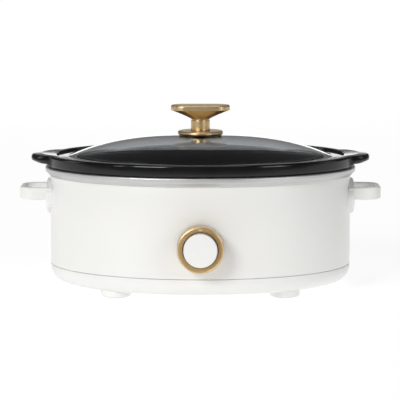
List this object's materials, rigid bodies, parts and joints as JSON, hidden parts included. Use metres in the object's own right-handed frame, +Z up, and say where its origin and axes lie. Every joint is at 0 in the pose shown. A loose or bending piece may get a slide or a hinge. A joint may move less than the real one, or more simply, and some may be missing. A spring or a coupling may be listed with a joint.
{
  "type": "slow cooker",
  "caption": "Oval slow cooker: painted housing with side loop handles and a front dial, lift-out stoneware crock, domed glass lid with a metal knob.",
  "frame": {"origin": "under the middle of the whole object, dial and side handles included, on the surface that the feet stand on", "axes": "+X towards the right-hand handle (seen from the front), +Y to the back, +Z up; the dial faces -Y"},
  "size_m": [0.4368, 0.306, 0.2208],
  "materials": {
    "white_paint": "satin",
    "white_plastic": "satin",
    "satin_steel": "satin",
    "well_aluminium": "satin",
    "heater_wrap": "matte",
    "zinc_steel": "satin",
    "black_plastic": "matte",
    "terminal_brass": "satin",
    "lead_sleeve": "matte",
    "black_glaze": "gloss",
    "smoked_glass": "gloss",
    "gold_metal": "satin",
    "marker_white": "satin",
    "silicone": "matte"
  },
  "bodies": {
    "housing": {"base_pan": "white_plastic", "control_bracket": "zinc_steel", "cord_gland": "white_plastic", "crimp_sleeves": "terminal_brass", "foot_front_left": "white_plastic", "foot_front_right": "white_plastic", "foot_pad_front_left": "silicone", "foot_pad_front_right": "silicone", "foot_pad_rear_left": "silicone", "foot_pad_rear_right": "silicone", "foot_rear_left": "white_plastic", "foot_rear_right": "white_plastic", "foot_screws": "zinc_steel", "fuse_clip": "zinc_steel", "heat_shield": "zinc_steel", "heater_band": "heater_wrap", "heater_band_strap": "zinc_steel", "heating_well": "well_aluminium", "housing_shell": "white_paint", "lead_high_heat": "lead_sleeve", "lead_live": "lead_sleeve", "lead_low_heat": "lead_sleeve", "lead_neutral": "lead_sleeve", "left_handle": "white_plastic", "left_handle_plate": "zinc_steel", "left_handle_screws": "zinc_steel", "right_handle": "white_plastic", "right_handle_plate": "zinc_steel", "right_handle_screws": "zinc_steel", "rim_ring": "satin_steel", "shield_spacer": "zinc_steel", "strap_clamp_nut": "zinc_steel", "strap_clamp_screw": "zinc_steel", "stud_nut": "zinc_steel", "stud_washer": "zinc_steel", "switch_housing": "black_plastic", "switch_nut": "zinc_steel", "switch_terminals": "terminal_brass", "terminal_block": "white_plastic", "thermal_fuse": "zinc_steel", "well_stud": "zinc_steel"},
    "crock": {"crock": "black_glaze"},
    "lid": {"lid_glass": "smoked_glass", "lid_knob_base": "gold_metal", "lid_knob_gasket_lower": "silicone", "lid_knob_gasket_upper": "silicone", "lid_knob_grip": "gold_metal", "lid_knob_screw": "zinc_steel", "lid_knob_stem": "gold_metal", "lid_knob_washer": "zinc_steel"},
    "dial": {"dial_skirt": "gold_metal", "dial_cap": "white_plastic", "dial_hub": "black_plastic", "dial_marker": "marker_white", "switch_shaft": "zinc_steel"}
  },
  "joints": [
    {"name": "crock_lift", "type": "slide", "parent": "housing", "child": "crock", "axis": [0, 0, 1], "range_m": [0, 0.15]},
    {"name": "lid_lift", "type": "slide", "parent": "crock", "child": "lid", "axis": [0, 0, 1], "range_m": [0, 0.08]},
    {"name": "dial_turn", "type": "hinge", "parent": "housing", "child": "dial", "pos_m": [0, -0.125, 0.067], "axis": [0, 1, 0], "range_deg": [0, 270]}
  ]
}
